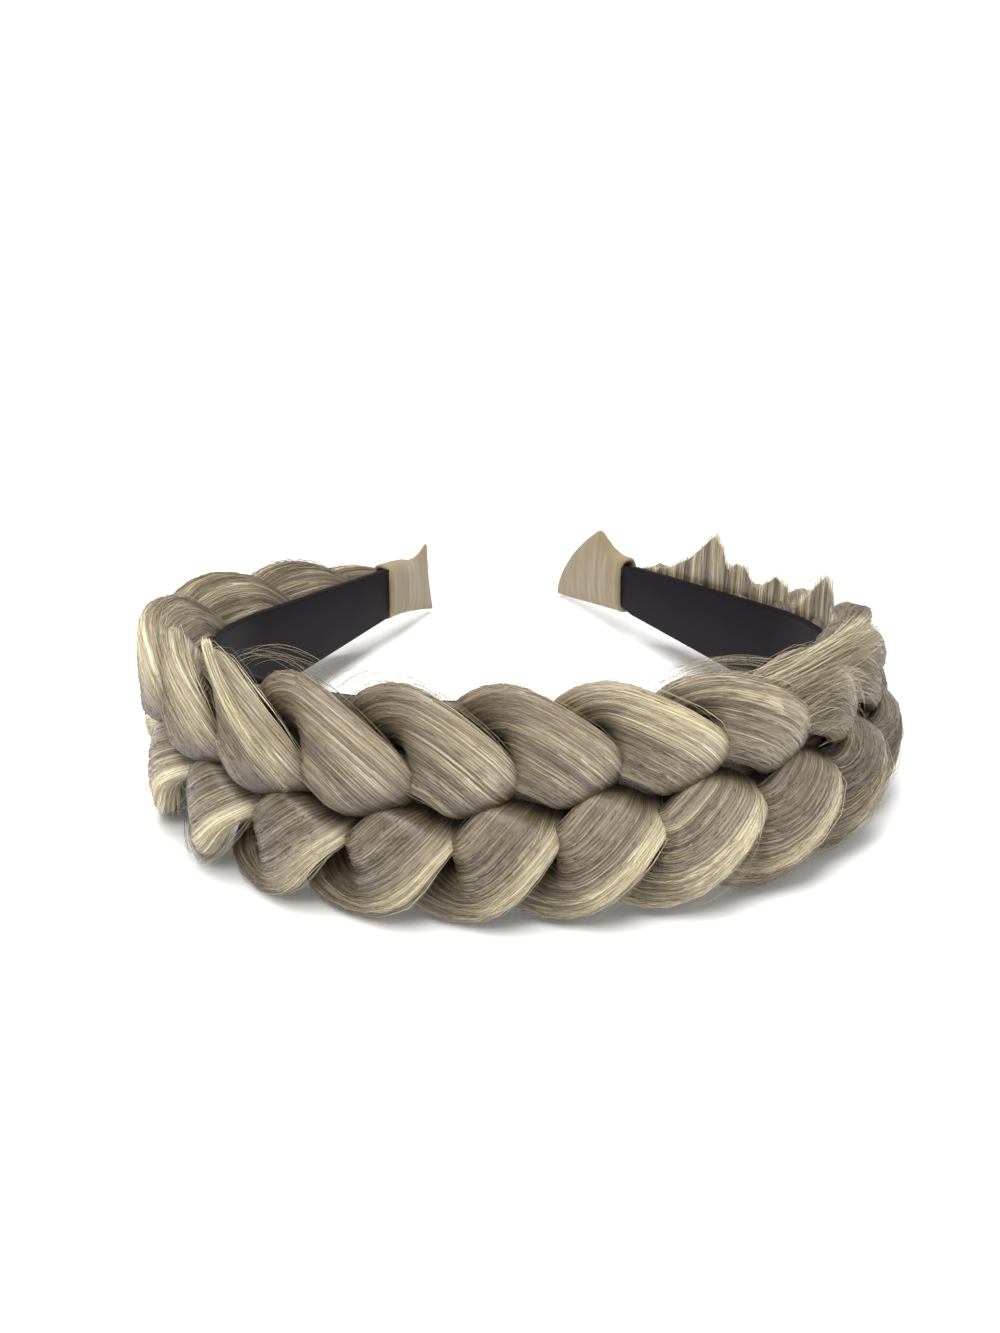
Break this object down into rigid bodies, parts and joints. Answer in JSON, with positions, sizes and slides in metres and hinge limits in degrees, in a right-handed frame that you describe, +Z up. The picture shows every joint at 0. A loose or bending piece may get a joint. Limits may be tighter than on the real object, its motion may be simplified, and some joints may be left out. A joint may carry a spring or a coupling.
{
  "type": "braided hair headband",
  "caption": "Rigid curved headband covered by a wide three-strand hair plait, with flared fabric wraps at its two ends.",
  "frame": {"origin": "centre of the headband's footprint, on the surface it lies on", "axes": "+Z up from the surface, +Y from the crown towards the two ends, +X across the head from the left leg to the right leg"},
  "size_m": [0.1582, 0.1726, 0.0513],
  "materials": {
    "band": "smooth near-black plastic with a soft sheen",
    "hair": "glossy synthetic hair fibre, ash blonde",
    "wrap_fabric": "fine matte beige cloth"
  },
  "bodies": {
    "root": {"inner_band": "band", "strand_a": "hair", "strand_b": "hair", "strand_c": "hair", "end_wrap_left": "wrap_fabric", "end_wrap_right": "wrap_fabric"}
  },
  "joints": []
}
